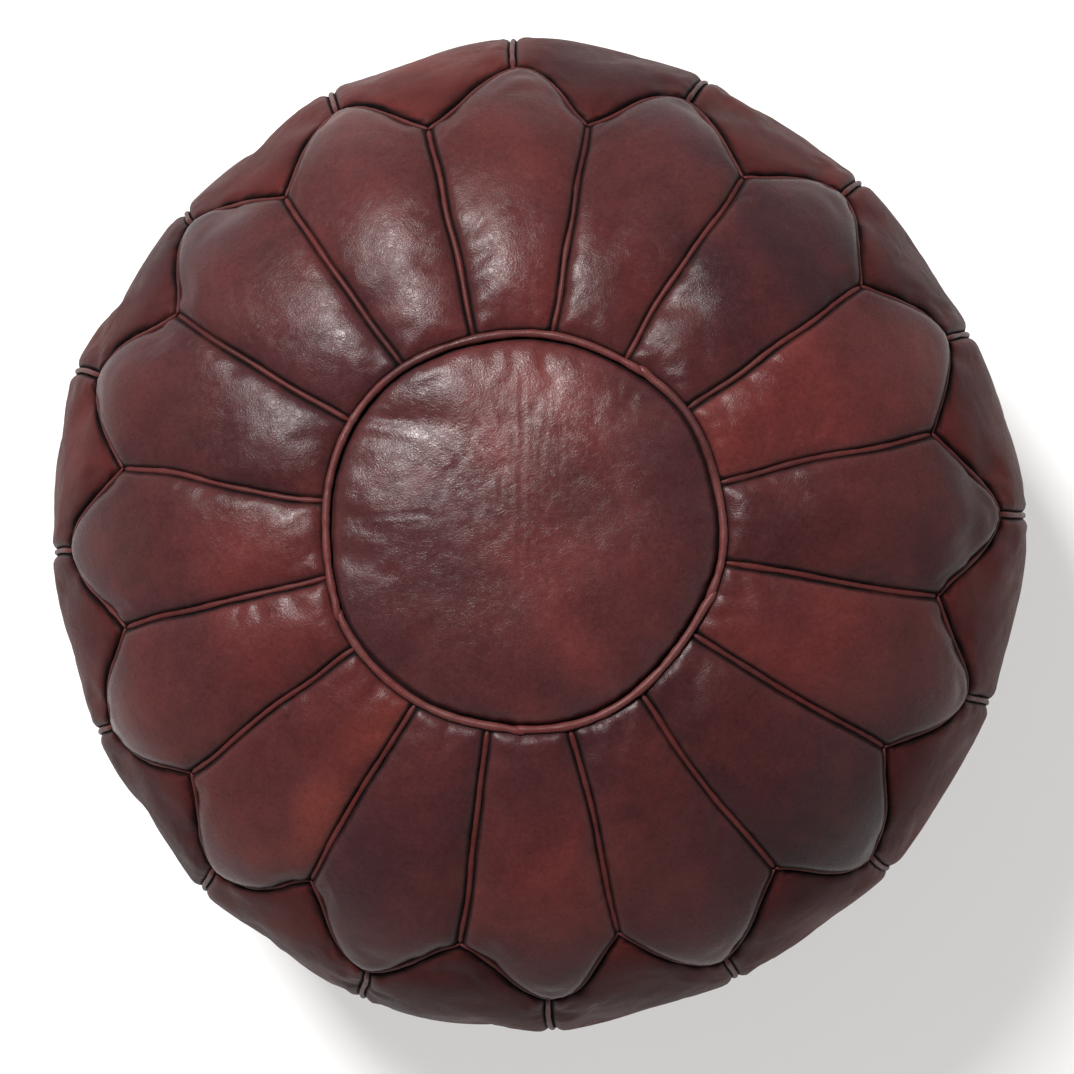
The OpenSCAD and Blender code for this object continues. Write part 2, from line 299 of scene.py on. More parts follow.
def side_grid(i):
    centre = (i + 0.5) * PITCH
    s, theta, side, cut, base = between_seams(
        *SIDE_STEPS, centre, scallop_s, lambda a: np.full(np.shape(a), BASE_S))
    return s, theta, side, cut * scallop_lean(theta), base


def disc_grid(count, radius):
    """Grid over a disc, square in its order: the polar radius and angle of each point."""
    a = np.linspace(-1, 1, count)
    x, y = np.meshgrid(a, a, indexing="xy")
    big = np.where(np.abs(x) > np.abs(y), x, y)
    safe = np.where(big == 0, 1, big)
    other = np.where(np.abs(x) > np.abs(y), y, x)
    quarter = other / safe * math.pi / 4
    theta = np.where(np.abs(x) > np.abs(y), quarter, math.pi / 2 - quarter)
    theta = theta + np.where(big < 0, math.pi, 0)
    half = (count - 1) // 2
    ring = np.rint(np.abs(big) * half).astype(int)
    marks = np.concatenate([
        np.linspace(0, radius - EDGE[-1], half - len(EDGE) + 2)[:-1], radius - EDGE[::-1]
    ])
    return marks[ring], theta


def grid_normals(p):
    du = np.gradient(p, axis=1)
    dv = np.gradient(p, axis=0)
    return unit(np.cross(du, dv))


# ------------------------------------------------------------------ cloth

def sample_grid(field, u, v):
    """Cubic samples of a grid of vectors at u (columns) and v (rows), each from 0 to 1."""
    rows, cols = field.shape[:2]
    x = np.clip(u, 0, 1) * (cols - 1)
    y = np.clip(v, 0, 1) * (rows - 1)
    x0 = np.clip(np.floor(x).astype(int), 0, cols - 2)
    y0 = np.clip(np.floor(y).astype(int), 0, rows - 2)

    def weights(t):
        return (
            -0.5 * t + t * t - 0.5 * t ** 3, 1 - 2.5 * t * t + 1.5 * t ** 3,
            0.5 * t + 2 * t * t - 1.5 * t ** 3, -0.5 * t * t + 0.5 * t ** 3
        )
    wx, wy = weights(x - x0), weights(y - y0)
    total = 0
    for j in range(4):
        yj = np.clip(y0 + j - 1, 0, rows - 1)
        for i in range(4):
            xi = np.clip(x0 + i - 1, 0, cols - 1)
            total = total + field[yj, xi] * (wx[i] * wy[j])[..., None]
    return total


def coarse_panel(kind, i):
    """Even grid over a panel for the cloth, from seam to seam."""
    cols, rows = CLOTH_GRID[kind]
    if kind == "medallion":
        a = np.linspace(-1, 1, cols)
        x, y = np.meshgrid(a, a, indexing="xy")
        big = np.maximum(np.abs(x), np.abs(y))
        norm = np.maximum(np.hypot(x, y), 1e-9)
        return RING_S * big, np.arctan2(y / norm, x / norm)
    u = np.linspace(-1, 1, cols)
    v = np.linspace(0, 1, rows)[:, None]
    centre = i * PITCH if kind == "petal" else (i + 0.5) * PITCH
    theta = centre + u * HALF
    # a seam's direction, kept on this side of it, because the scallops change there
    nudge = 0.00001
    cut = scallop_s(theta * (1 - nudge) + centre * nudge)
    if kind == "petal":
        s = RING_S + (cut - RING_S) * v
    else:
        s = cut + (BASE_S - cut) * v
    return s, np.broadcast_to(theta, s.shape)


def settle_cloth(panels):
    """Stuffs the panels: each is a sheet cut slightly too large, held along its seams and blown
    out. Returns how far each point moved."""
    verts, faces, pins, spans = [], [], [], []
    base = 0
    for p in panels:
        rows, cols = p.shape[:2]
        index = base + np.arange(rows * cols).reshape(rows, cols)
        verts.append(p.reshape(-1, 3))
        faces.append(np.stack([
            index[:-1, :-1], index[:-1, 1:], index[1:, 1:], index[1:, :-1]
        ], -1).reshape(-1, 4))
        edge = np.ones((rows, cols), bool)
        edge[1:-1, 1:-1] = False
        pins.append(index[edge])
        spans.append((base, rows, cols))
        base += rows * cols
    verts = np.concatenate(verts)
    mesh = bpy.data.meshes.new("cloth")
    mesh.from_pydata(verts.tolist(), [], np.concatenate(faces).tolist())
    obj = bpy.data.objects.new("cloth", mesh)
    bpy.context.scene.collection.objects.link(obj)
    group = obj.vertex_groups.new(name="sewn")
    group.add(np.concatenate(pins).tolist(), 1.0, "ADD")
    cloth = obj.modifiers.new("cloth", "CLOTH")
    c = cloth.settings
    c.quality = 5
    c.mass = 0.25
    c.tension_stiffness = 25
    c.compression_stiffness = 25
    c.shear_stiffness = 12
    c.bending_stiffness = 1.2
    c.shrink_min = -0.009
    c.vertex_group_mass = "sewn"
    c.use_pressure = True
    c.uniform_pressure_force = 3.2
    c.effector_weights.gravity = 0
    cloth.collision_settings.use_collision = False
    cloth.collision_settings.use_self_collision = False
    cloth.point_cache.frame_start = 1
    cloth.point_cache.frame_end = CLOTH_FRAMES
    scene = bpy.context.scene
    for f in range(1, CLOTH_FRAMES + 1):
        scene.frame_set(f)
    shape = obj.evaluated_get(bpy.context.evaluated_depsgraph_get()).to_mesh()
    after = np.zeros(len(verts) * 3, np.float32)
    shape.vertices.foreach_get("co", after)
    moved = after.reshape(-1, 3) - verts
    scene.frame_set(1)
    bpy.data.objects.remove(obj)
    far = np.linalg.norm(moved, axis=1, keepdims=True)
    tiny = 1e-9
    capped = CLOTH_CAP * np.tanh(far / CLOTH_CAP)
    moved = moved * np.where(far > tiny, capped / np.maximum(far, tiny), 0)
    return [moved[a:a + rows * cols].reshape(rows, cols, 3) for a, rows, cols in spans]


# ------------------------------------------------------------------ meshes

def link(name, verts, faces, colour=None, values=None):
    """New object with the colours as "tint" and each list of values as its own attribute."""
    mesh = bpy.data.meshes.new(name)
    mesh.vertices.add(len(verts))
    mesh.vertices.foreach_set("co", np.asarray(verts, np.float32).ravel())
    sizes = np.array([len(f) for f in faces])
    mesh.loops.add(int(sizes.sum()))
    corners = np.concatenate([np.asarray(f) for f in faces])
    mesh.loops.foreach_set("vertex_index", corners.astype(np.int32))
    mesh.polygons.add(len(faces))
    mesh.polygons.foreach_set("loop_start", np.append(0, np.cumsum(sizes)[:-1]).astype(np.int32))
    mesh.update(calc_edges=True)
    mesh.polygons.foreach_set("use_smooth", np.ones(len(faces), bool))
    if colour is not None:
        layer = mesh.color_attributes.new("tint", "FLOAT_COLOR", "POINT")
        layer.data.foreach_set("color", np.concatenate([
            colour, np.ones((len(colour), 1))
        ], 1).astype(np.float32).ravel())
    for key, data in (values or {}).items():
        layer = mesh.attributes.new(key, "FLOAT", "POINT")
        layer.data.foreach_set("value", np.asarray(data, np.float32))
    mesh.validate()
    obj = bpy.data.objects.new(name, mesh)
    bpy.context.scene.collection.objects.link(obj)
    return obj


def sheet_shell(name, p, thickness=LEATHER_T, colour=None, values=None, flip=False):
    """Closed sheet with the grid p as its outer face. flip turns a grid that faces inwards."""
    if flip:
        p = p[:, ::-1]
        colour = None if colour is None else colour[:, ::-1]
        values = {k: v[:, ::-1] for k, v in (values or {}).items()}
    rows, cols = p.shape[:2]
    n = grid_normals(p)
    inner = p - n * thickness
    count = rows * cols
    a = np.arange(count).reshape(rows, cols)
    outer_faces = np.stack([a[:-1, :-1], a[:-1, 1:], a[1:, 1:], a[1:, :-1]], -1).reshape(-1, 4)
    rim = np.concatenate([a[0, :], a[1:, -1], a[-1, -2::-1], a[-2:0:-1, 0]])
    after = np.roll(rim, -1)
    walls = np.stack([after, rim, rim + count, after + count], -1)
    faces = np.concatenate([outer_faces, outer_faces[:, ::-1] + count, walls])

    def double(v):
        return np.concatenate([v.reshape(count, -1), v.reshape(count, -1)])

    return link(
        name, np.concatenate([p.reshape(-1, 3), inner.reshape(-1, 3)]), faces,
        None if colour is None else double(colour),
        {k: double(v)[:, 0] for k, v in (values or {}).items()}
    )


def tube(path, up, radius, sides=12, closed=False):
    """Vertices and faces of a round cord along path. up is the way off the leather, and an open
    cord is rounded off at its ends."""
    path = np.asarray(path, float)
    radius = np.broadcast_to(radius, len(path)).astype(float)
    if closed:
        t = unit(np.roll(path, -1, 0) - np.roll(path, 1, 0))
    else:
        t = unit(np.gradient(path, axis=0))
        ends = np.array([0.35, 0.75, 0.94])
        radius = radius.copy()
        radius[:3] *= ends
        radius[-3:] *= ends[::-1]
    b = unit(np.cross(t, up))
    n = np.cross(b, t)
    a = np.linspace(0, 2 * math.pi, sides, endpoint=False)
    ring = np.cos(a)[None, :, None] * b[:, None] + np.sin(a)[None, :, None] * n[:, None]
    verts = (path[:, None] + radius[:, None, None] * ring).reshape(-1, 3)
    index = np.arange(len(path) * sides).reshape(len(path), sides)
    nxt = np.roll(index, -1, 1)
    if closed:
        quads = np.stack([index, nxt, np.roll(nxt, -1, 0), np.roll(index, -1, 0)], -1)
        return verts, list(quads.reshape(-1, 4))
    quads = np.stack([index[:-1], nxt[:-1], nxt[1:], index[1:]], -1).reshape(-1, 4)
    return verts, list(quads) + [index[0][::-1], index[-1]]


def join_parts(name, parts, colour):
    """One piece from several closed forms, tinted by colour(points)."""
    verts, faces, base = [], [], 0
    for v, f in parts:
        verts.append(v)
        faces += [np.asarray(q) + base for q in f]
        base += len(v)
    verts = np.concatenate(verts)
    return link(name, verts, faces, colour(verts))


# ------------------------------------------------------------------ colour of the leather

PLUM = np.array([0.034, 0.0115, 0.0140])
RED = np.array([0.080, 0.0175, 0.0170])
RUST = np.array([0.135, 0.0290, 0.0205])
DARK = np.array([0.013, 0.0048, 0.0056])
WORN = np.array([0.088, 0.0250, 0.0235])

# How red, how rusty and how dark each petal was dyed, from +X round towards +Y
PETAL_TONES = (
    (0.40, 0.05, 0.45), (0.85, 0.20, 0.00), (0.15, 0.00, 0.35), (0.30, 0.05, 0.25),
    (0.50, 0.10, 0.20), (0.45, 0.10, 0.15), (0.35, 0.05, 0.15), (0.35, 0.10, 0.40),
    (0.45, 0.10, 0.40), (0.60, 0.10, 0.15), (0.60, 0.55, 0.15), (0.30, 0.00, 0.35),
    (0.60, 0.05, 0.10), (0.40, 0.05, 0.35), (0.20, 0.00, 0.45), (0.55, 0.25, 0.30),
)
# The petal with rust all along one side
RUSTY_PETAL = 10


def mix(a, b, t):
    return a + (b - a) * np.clip(t, 0, 1)[..., None]


def dye_and_seam_shade(p, tone, seam, rust_bias=0.0):
    """Colour at points p of a panel dyed to tone, at distance seam from its nearest seam. Painted
    shade darkens it towards the seams and paints it nearly black where the leather turns down into
    them."""
    red, rust, dark = tone
    cloud = waves(p, 0.12, 31) * 0.6 + waves(p, 0.05, 32) * 0.3 + waves(p, 0.02, 33) * 0.1
    flame = waves(p, 0.10, 34) * 0.6 + waves(p, 0.045, 35) * 0.4
    c = mix(np.broadcast_to(PLUM, p.shape), RED, red + 0.22 * cloud)
    c = mix(c, RUST, rust * ramp(flame + rust_bias, -0.1, 1.3))
    c = mix(c, DARK, 0.75 * dark * ramp(waves(p, 0.12, 36) + 0.4, -1.2, 1.2))
    # painted shade: darker in patches within about 8 mm of a seam, where the leather rolls down
    # into it
    edge = np.exp(-np.maximum(seam - 2.5 * MM, 0) / (8 * MM))
    c = mix(c, DARK, 0.30 * edge * ramp(waves(p, 0.06, 37), -1.2, 1.2))
    # painted shade: nearly black in the groove beside each seam cord
    return mix(c, 0.15 * DARK, 1 - ramp(seam, 2.9 * MM, 4.3 * MM))


def welt_colour(p):
    """Colour of the cords, worn lighter than the panels, with dark stretches."""
    red = 0.35 + 0.35 * waves(p, 0.045, 41) + 0.15 * waves(p, 0.012, 42)
    c = mix(np.broadcast_to(WORN, p.shape), RED, red)
    return mix(c, DARK, 0.45 * ramp(waves(p, 0.07, 43), 0.2, 1.6))


# ------------------------------------------------------------------ relief

def puckers(p, along, d, seed, strength=1.0):
    """Gathers that run away from a seam. along is the distance along it, d the distance from it."""
    rng = np.random.default_rng(seed)
    value = 0
    for length in (0.0075, 0.0105, 0.015, 0.021):
        phase = rng.uniform(0, 6.3) + 1.2 * waves(p, 0.05, seed + 1)
        value = value + np.cos(2 * math.pi * along / length + phase)
    gate = ramp(waves(p, 0.055, seed + 2), -0.6, 1.3)
    fade = np.exp(-d / (6.5 * MM)) * ramp(d, 0.3 * MM, 2.4 * MM)
    return strength * 0.16 * MM * value * gate * fade


def wrinkles(p, seed):
    """Slack folds and fine creases of old leather."""
    a = np.abs(waves(p, 0.034, seed)) + 0.5 * np.abs(waves(p, 0.019, seed + 1))
    fine = np.abs(waves(p, 0.012, seed + 2))
    worn = ramp(waves(p, 0.08, seed + 3), -0.3, 1.4)
    return (0.22 * np.minimum(a, 1.2) + 0.10 * worn * np.minimum(fine, 0.8) - 0.2) * MM


def fold(x, y, a, b, width, depth, wander, seed):
    """A crease from a to b in the plane, with a low ridge on each side, fading out at both ends."""
    a, b = np.array(a), np.array(b)
    way = (b - a) / np.linalg.norm(b - a)
    along = (x - a[0]) * way[0] + (y - a[1]) * way[1]
    across = -(x - a[0]) * way[1] + (y - a[1]) * way[0]
    length = np.linalg.norm(b - a)
    q = np.stack([along, np.zeros_like(along), np.zeros_like(along)], -1)
    across = across + wander * waves(q, 0.05, seed)
    fade = ramp(along, 0, 0.25 * length) * (1 - ramp(along, 0.75 * length, length))
    groove = np.exp(-(across / width) ** 2)
    ridges = np.exp(-((np.abs(across) - 2.1 * width) / (1.2 * width)) ** 2)
    return depth * fade * (0.55 * ridges - groove)


def sewn_relief(p, d, seams, seed, swell, reach):
    """Height of a panel's leather above the skin, at distance d from its nearest seam. seams lists
    for each seam the distance from it, the distance along it, the seed and the strength of its
    gathers, and the depth and reach of its turn-down in mm."""
    h = wrinkles(p, seed) * ramp(d, 2 * MM, 10 * MM)
    down = 0
    for away, along, gather_seed, strength, depth, turn in seams:
        h = h + puckers(p, along, away, gather_seed, strength)
        down = np.maximum(down, roll(away, depth * MM, turn * MM))
    return h - down + swell * (1 - np.exp(-d / reach))


# ------------------------------------------------------------------ cover pieces

def make_cover():
    kinds = [("medallion", 0)]
    kinds += [("petal", i) for i in range(PANELS)]
    kinds += [("side", i) for i in range(PANELS)]
    coarse = []
    for kind, i in kinds:
        p, _ = skin(*coarse_panel(kind, i))
        # rows turned round, so that the faces look outwards and the pressure pushes that way
        coarse.append(p if kind == "medallion" else p[::-1])
    moved = settle_cloth(coarse)
    pieces = [make_medallion(moved[0])]
    for i in range(PANELS):
        pieces.append(make_petal(i, moved[1 + i][::-1]))
    for i in range(PANELS):
        pieces.append(make_side(i, moved[1 + PANELS + i][::-1]))
    return pieces


def ready(piece, node):
    """Parents a piece to the cover's body in place of its CAD node, and hides that node."""
    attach(piece, "cover")
    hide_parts(node)
    return piece


# Long creases of the medallion: both ends, width, depth and wander in mm
CREASES = (
    ((0.004, 0.088), (-0.003, -0.048), 1.0, 0.26, 1.5),
    ((0.013, 0.082), (0.009, -0.035), 0.8, 0.20, 1.2),
    ((-0.006, 0.075), (-0.009, -0.010), 0.8, 0.17, 0.9),
    ((0.021, 0.062), (0.018, -0.020), 0.8, 0.15, 0.9),
    ((-0.093, 0.010), (-0.034, 0.006), 0.9, 0.30, 0.9),
    ((-0.089, 0.003), (-0.048, 0.000), 0.8, 0.16, 0.6),
    ((-0.082, -0.005), (-0.054, -0.009), 0.7, 0.13, 0.6),
    ((0.040, 0.046), (0.036, -0.002), 0.8, 0.12, 0.6),
)


def make_medallion(moved):
    radius, theta = disc_grid(DISC_POINTS, RING_S)
    p, n = skin(radius, theta)
    x, y = radius * np.cos(theta), radius * np.sin(theta)
    # the cloth's grid is even in the coordinates of the square around the disc
    square = RING_S * np.maximum(np.abs(np.cos(theta)), np.abs(np.sin(theta)))
    p = p + sample_grid(moved, (x / square + 1) / 2, (y / square + 1) / 2)
    d = RING_S - radius
    h = wrinkles(p, 61) * ramp(d, 2 * MM, 9 * MM)
    h = h + puckers(p, theta * RING_S, d, 62, 1.3)
    for k, (start, end, width, depth, wander) in enumerate(CREASES):
        h = h + fold(x, y, start, end, width * MM, depth * MM, wander * MM, 70 + k)
    h = h - roll(d, 4.0 * MM, 3.3 * MM) + 1.1 * PUFF * (1 - np.exp(-d / (17 * MM)))
    p = p + n * h[..., None]
    # a red band from top to bottom, and plum below and to its right
    band = np.exp(-((x - 0.012 + 0.05 * y) / 0.030) ** 2)
    lower = ramp(-(x * 0.7 + y), 0.0, 0.09)
    c = dye_and_seam_shade(p, (0.42, 0.05, 0.10), d)
    c = mix(c, RED * 1.15, 0.55 * band * (0.6 + 0.4 * waves(p, 0.05, 81)))
    c = mix(c, PLUM * 0.85, 0.5 * lower * (1 - band))
    c = mix(c, PLUM * 0.9, 0.5 * ramp(x, 0.045, 0.085))
    piece = sheet_shell("medallion_leather", p, colour=c, values={"seam": d / MM})
    return ready(piece, "medallion")


def make_petal(i, moved):
    s, theta, side, ring, cut = petal_grid(i)
    centre = i * PITCH
    p, n = skin(s, theta)
    end = scallop_s(theta)
    p = p + sample_grid(moved, ((theta - centre) / HALF + 1) / 2, (s - RING_S) / (end - RING_S))
    d = np.minimum(np.minimum(side, ring), cut)
    r = np.interp(s, PS, PR)
    seam = np.where(theta > centre, 1, 0) + i
    h = sewn_relief(p, d, (
        (side, s + 0.013 * seam, 110 + i, 1.1, 3.8, 2.7),
        (ring, theta * r, 130 + i, 1.8, 4.0, 3.3),
        (cut, theta * r, 150 + i, 1.0, 3.4, 2.5),
    ), 91 + i, PUFF, 15 * MM)
    p = p + n * h[..., None]
    bias = 0.9 * (theta - centre) / HALF if i == RUSTY_PETAL else 0.0
    c = dye_and_seam_shade(p, PETAL_TONES[i], d, bias)
    # painted shade along the outer, turned-in edge, where the petal rolls down to the scalloped
    # seam
    c = mix(c, DARK, 0.42 * np.exp(-cut / (13 * MM)))
    piece = sheet_shell(f"petal_leather_{i + 1:02d}", p, colour=c, values={"seam": d / MM})
    return ready(piece, f"petal_{i + 1:02d}")


def make_side(i, moved):
    s, theta, side, cut, base = side_grid(i)
    centre = (i + 0.5) * PITCH
    p, n = skin(s, theta)
    start = scallop_s(theta)
    p = p + sample_grid(moved, ((theta - centre) / HALF + 1) / 2, (s - start) / (BASE_S - start))
    d = np.minimum(np.minimum(side, cut), base)
    r = np.interp(s, PS, PR)
    seam = np.where(theta > centre, 1, 0) + i
    h = sewn_relief(p, d, (
        (side, s + 0.011 * seam, 210 + i, 1.2, 3.8, 2.9),
        (cut, theta * r, 230 + i, 1.0, 3.4, 2.5),
        (base, theta * r, 250 + i, 1.8, 3.0, 2.6),
    ), 191 + i, 0.5 * PUFF, 14 * MM)
    p = p + n * h[..., None]
    p[..., 2] = np.maximum(p[..., 2], 0)
    rng = np.random.default_rng(300 + i)
    tone = (rng.uniform(0.3, 0.75), rng.uniform(0.0, 0.3), rng.uniform(0.0, 0.35))
    c = dye_and_seam_shade(p, tone, d)
    piece = sheet_shell(f"side_leather_{i + 1:02d}", p, colour=c, values={"seam": d / MM})
    return ready(piece, f"side_panel_{i + 1:02d}")


# ------------------------------------------------------------------ welts

def cord_along(s, theta, radius, lift, seed, closed=False, sides=12):
    """A slightly uneven cord on the skin, its centre line lifted off it by lift."""
    p, n = skin(s, theta)
    rough = waves(p, 0.018, seed) * 0.06 + waves(p, 0.007, seed + 1) * 0.04
    return tube(p + n * (lift + 0.12 * MM * waves(p, 0.03, seed + 2))[..., None], n,
                radius * (1 + rough), sides, closed)


def cords(name, parts, node):
    return ready(join_parts(name, parts, welt_colour), node)


def make_welts():
    made = []
    # piping round the medallion, in lengths whose ends lap over each other
    laps = np.radians([-92, -22, 50, 203, 268])
    ring_r, step = 0.096, 1.6 * MM
    parts = []
    for k in range(len(laps) - 1):
        a0, a1 = laps[k] - 0.035, laps[k + 1] + 0.035
        theta = np.linspace(a0, a1, int((a1 - a0) * ring_r / step))
        shift = np.interp(theta, [a0, a0 + 0.1, a1 - 0.1, a1], [0.0, 0, 0, 1.5 * MM])
        lift = MM * np.interp(theta, [a0, a0 + 0.06, a1 - 0.06, a1], [-1.2, 0.35, 0.35, 0.5])
        parts.append(cord_along(
            RING_S + shift, theta, PIPING_R * 0.86, lift, 401 + 3 * k, sides=16))
    made.append(cords("medallion_piping_cord", parts, "medallion_piping"))

    # the other cords dip under their neighbours at both ends
    parts = []
    for k in range(PANELS):
        theta = (k + 0.5) * PITCH
        end = VALLEY_S - 0.4 * MM
        s = np.linspace(RING_S + 1.2 * MM, end, int((end - RING_S) / step))
        lift = MM * np.interp(
            s, [s[0], s[0] + 5 * MM, end - 6 * MM, end], [-1.4, -0.35, -0.35, -1.3])
        parts.append(cord_along(s, np.full(len(s), theta), WELT_R, lift, 421 + 3 * k))
    made.append(cords("petal_welt_cords", parts, "petal_welts"))

    points, nudge = 64, 1e-6
    parts = []
    for k in range(PANELS):
        first, last = (k - 0.5) * PITCH, (k + 0.5) * PITCH
        theta = np.linspace(first, last, points)
        s = scallop_s(np.clip(theta, first + nudge, last - nudge))
        parts.append(cord_along(
            s, theta, WELT_R * 0.82, np.full(points, -0.45 * MM), 481 + 3 * k))
    made.append(cords("scallop_welt_cord", parts, "scallop_welt"))

    parts = []
    for k in range(PANELS):
        theta = k * PITCH
        start = float(scallop_s(np.array([theta]))[0]) + 0.8 * MM
        end = BASE_S - 0.6 * MM
        s = np.linspace(start, end, int((end - start) / (2 * MM)))
        lift = MM * np.interp(
            s, [start, start + 6 * MM, end - 6 * MM, end], [-1.2, 0.2, 0.2, -1.3])
        parts.append(cord_along(s, np.full(len(s), theta), WELT_R, lift, 541 + 3 * k))
    made.append(cords("side_welt_cords", parts, "side_welts"))

    points = 720
    part = cord_along(
        np.full(points, BASE_S), np.linspace(0, 2 * math.pi, points, endpoint=False),
        BASE_WELT_R * 0.95, np.full(points, 0.1 * MM), 601, closed=True)
    made.append(cords("base_welt_cord", [part], "base_welt"))
    return made


# ------------------------------------------------------------------ base, zip tapes and stuffing

TAPE_LOW, TAPE_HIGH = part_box("zip_tape_back")
PULL_LOW, PULL_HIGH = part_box("zip_pull")
# Half sizes of the opening between the base's halves, and of the flat roof of the recess over it
SLOT_X = (TAPE_HIGH.x - TAPE_LOW.x) / 2 - 2 * MM
SLOT_Y = 6.5 * MM
ROOF_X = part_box("zip_top_stops")[1].x + (PULL_HIGH.x - PULL_LOW.x) - 8.5 * MM
ROOF_Y = 17 * MM
ROOF_Z = TAPE_LOW.z - 1.65 * MM
END_SLOPE = 10 * MM


def recess_z(x, y, grow=0.0):
    """Height of the soft-edged recess that the zip lies in, or of one larger by grow."""
    wall_y = (ROOF_Y + ROOF_Z + grow - np.abs(y)) / (ROOF_Z + grow)
    wall_x = (ROOF_X + END_SLOPE + grow - np.abs(x)) / END_SLOPE
    return (ROOF_Z + grow) * ramp(np.minimum(wall_y, wall_x), -0.05, 1.0)


def make_base():
    """Two half discs that meet along y = 0, with an opening between them for the zip's teeth."""
    made = []
    rim_r = BASE_R - EDGE[0]
    cols, rows, corner = 170, 70, 0.004
    a = np.linspace(corner, math.pi - corner, cols)
    x = rim_r * np.cos(a)
    open_y = SLOT_Y * (1 - ramp(np.abs(x), SLOT_X - 5 * MM, SLOT_X)) + 0.15 * MM
    rim_y = rim_r * np.sin(a)
    lead = np.minimum(open_y, rim_y * 0.5)
    t = spread(rim_y - lead, rows)
    y = lead[:, None] + t - EDGE[0] * np.linspace(1, -1, t.shape[1])
    x = np.broadcast_to(x[:, None], y.shape)
    r = np.hypot(x, y)
    s = np.interp(-r, -PR[WIDEST:], PS[WIDEST:])
    heel = np.interp(s, PS, PZ)
    d = BASE_R - r
    recess = recess_z(x, y)
    soft = 1 - ramp(recess, 0.3 * MM, 2 * MM)
    for half, turn in (("back", 1), ("front", -1)):
        p = np.stack([x * turn, y * turn, heel], -1)
        lift = 0.35 * MM * (1 + waves(p, 0.06, 501)) * soft * ramp(d, 6 * MM, 50 * MM)
        gathers = puckers(p, np.arctan2(y, x) * BASE_R, d, 510, 1.6)
        leather_z = heel + roll(d, 2.6 * MM, 2.4 * MM) + np.maximum(lift, 0) + gathers
        p[..., 2] = np.maximum(leather_z, recess)
        c = dye_and_seam_shade(p, (0.35, 0.05, 0.35), d)
        c = mix(c, RED * 0.8, 0.25 * ramp(waves(p, 0.05, 511), 0, 1.5))
        piece = sheet_shell(
            f"base_leather_{half}", p, colour=c, values={"seam": d / MM}, flip=True)
        made.append(ready(piece, f"base_panel_{half}"))
    return made


def make_tapes():
    """Two ribbons in a herringbone weave."""
    made = []
    low, high = TAPE_LOW, TAPE_HIGH
    x = np.linspace(low.x, high.x, 301)
    y = np.linspace(low.y, high.y, 31)
    gx, gy = np.meshgrid(x, y, indexing="ij")
    bone = np.abs((gy - low.y) % (5 * MM) - 2.5 * MM)
    weave = 0.035 * MM * np.cos(2 * math.pi * (gx / (1.9 * MM) + bone / (2.2 * MM)))
    for half, turn in (("back", 1), ("front", -1)):
        p = np.stack([gx * turn, gy * turn, low.z + 0.05 * MM - weave], -1)
        piece = sheet_shell(f"zip_tape_cloth_{half}", p, thickness=0.5 * MM)
        made.append(ready(piece, f"zip_tape_{half}"))
    return made


def make_stuffing():
    """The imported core: closed, a little inside the leather, with a hollow above the zip."""
    rings, sides = 150, 160
    s = np.linspace(0, PS[-1], rings)[1:-1]
    theta = np.linspace(0, 2 * math.pi, sides, endpoint=False)
    gs, gt = np.meshgrid(s, theta, indexing="ij")
    p, n = skin(gs, gt)
    p = p - n * CORE_INSET
    over = recess_z(p[..., 0], p[..., 1], CORE_INSET)
    p[..., 2] = np.where(gs > BASE_S, np.maximum(p[..., 2], over), p[..., 2])
    axis = np.array([0.0])
    top = skin(axis, axis)[0][0] - np.array([0, 0, CORE_INSET])
    foot = np.array([0, 0, float(recess_z(axis, axis, CORE_INSET)[0])])
    rows, cols = gs.shape
    index = np.arange(rows * cols).reshape(rows, cols)
    nxt = np.roll(index, -1, 1)
    quads = list(np.stack([index[:-1], index[1:], nxt[1:], nxt[:-1]], -1).reshape(-1, 4))
    a, b = rows * cols, rows * cols + 1
    quads += [np.array([a, index[0, j], nxt[0, j]]) for j in range(cols)]
    quads += [np.array([b, nxt[-1, j], index[-1, j]]) for j in range(cols)]
    verts = np.concatenate([p.reshape(-1, 3), top[None], foot[None]])
    piece = link("packed_stuffing", verts, quads)
    return [ready(piece, "stuffing")]


# ------------------------------------------------------------------ materials

def add(tree, kind, inputs=None, **props):
    node = tree.nodes.new(kind)
    for key, value in props.items():
        setattr(node, key, value)
    for key, value in (inputs or {}).items():
        socket = node.inputs[key]
        if isinstance(value, bpy.types.NodeSocket):
            tree.links.new(value, socket)
        else:
            socket.default_value = value
    return node


def math_node(tree, operation, a, b=0.0, clamp=False):
    node = add(tree, "ShaderNodeMath", {0: a, 1: b}, operation=operation, use_clamp=clamp)
    return node.outputs[0]


def remap(tree, value, a, b, c, d):
    """Takes a to c and b to d, and holds at both ends."""
    return add(tree, "ShaderNodeMapRange", {0: value, 1: a, 2: b, 3: c, 4: d}).outputs[0]


def blend_colour(tree, factor, a, b, mode="MIX"):
    node = add(tree, "ShaderNodeMix", data_type="RGBA", blend_type=mode)
    for index, value in ((0, factor), (6, a), (7, b)):
        if isinstance(value, bpy.types.NodeSocket):
            tree.links.new(value, node.inputs[index])
        else:
            node.inputs[index].default_value = value
    return node.outputs[2]


def start_material(name):
    """A material with a bare shader, and the object's own coordinates."""
    material = bpy.data.materials.new(name)
    material.use_nodes = True
    tree = material.node_tree
    tree.nodes.clear()
    shader = add(tree, "ShaderNodeBsdfPrincipled")
    out = add(tree, "ShaderNodeOutputMaterial")
    tree.links.new(shader.outputs[0], out.inputs[0])
    where = add(tree, "ShaderNodeTexCoord").outputs["Object"]
    return material, tree, shader, where


